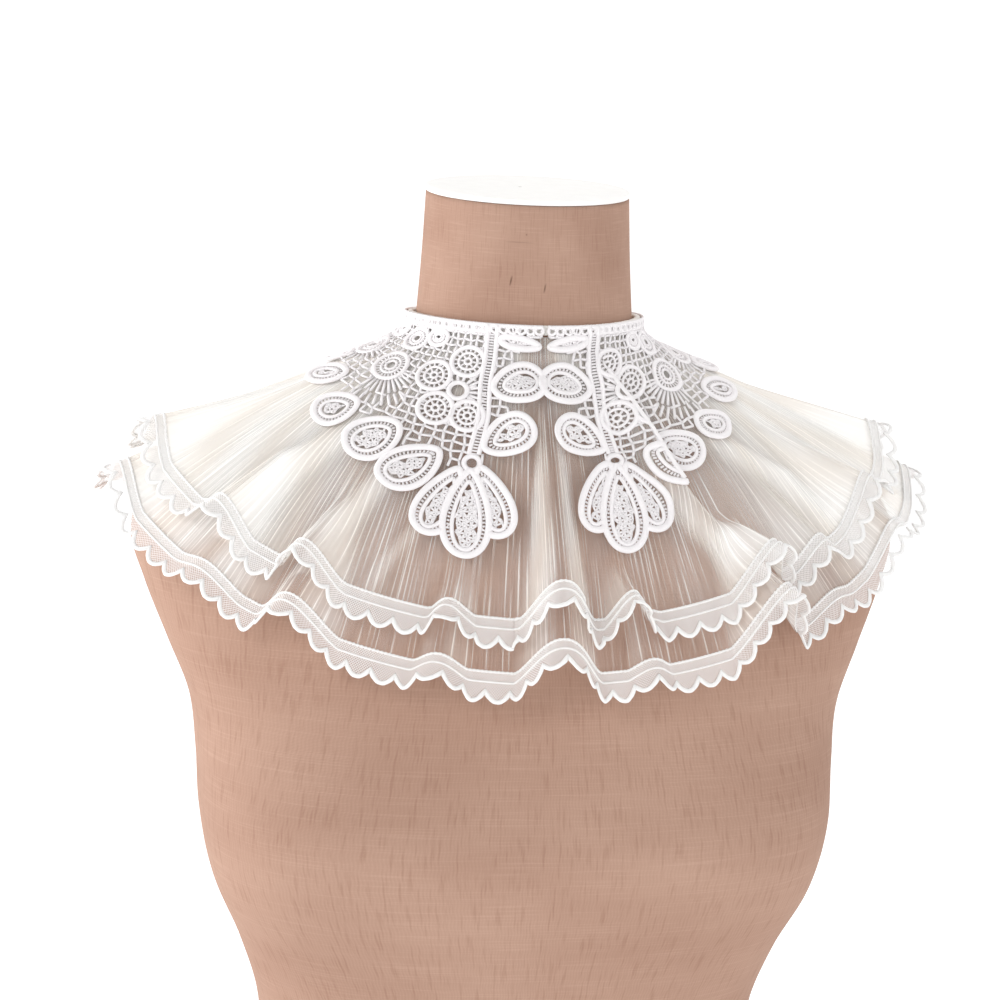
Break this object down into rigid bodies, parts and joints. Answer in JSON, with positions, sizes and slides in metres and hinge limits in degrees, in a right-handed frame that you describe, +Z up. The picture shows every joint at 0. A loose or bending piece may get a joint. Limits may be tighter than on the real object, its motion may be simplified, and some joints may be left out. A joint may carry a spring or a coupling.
{
  "type": "false collar on a dress form",
  "caption": "Layered false collar of pleated sheer cloth with scalloped trims and corded lace over it, fastened at the back of the neck, on a limbless dress form.",
  "frame": {"origin": "centre of the dress form's flat base", "axes": "+Z up along the neck's axis, -Y to the wearer's front, +X to the wearer's left"},
  "size_m": [0.4431, 0.2837, 0.6009],
  "materials": {
    "linen": "matt woven linen cover, stretched",
    "cap_paint": "smooth pale matt",
    "chiffon": "sheer crinkled chiffon",
    "lace": "matt corded lace",
    "button_gloss": "polished shell"
  },
  "bodies": {
    "root": {"form_body": "linen", "neck_cap": "cap_paint", "neckband": "chiffon", "tier_lower": "chiffon", "tier_upper": "chiffon", "trim_lower": "lace", "trim_upper": "lace", "lace_left": "lace", "lace_right": "lace", "button": "button_gloss", "button_loop": "lace"}
  },
  "joints": []
}
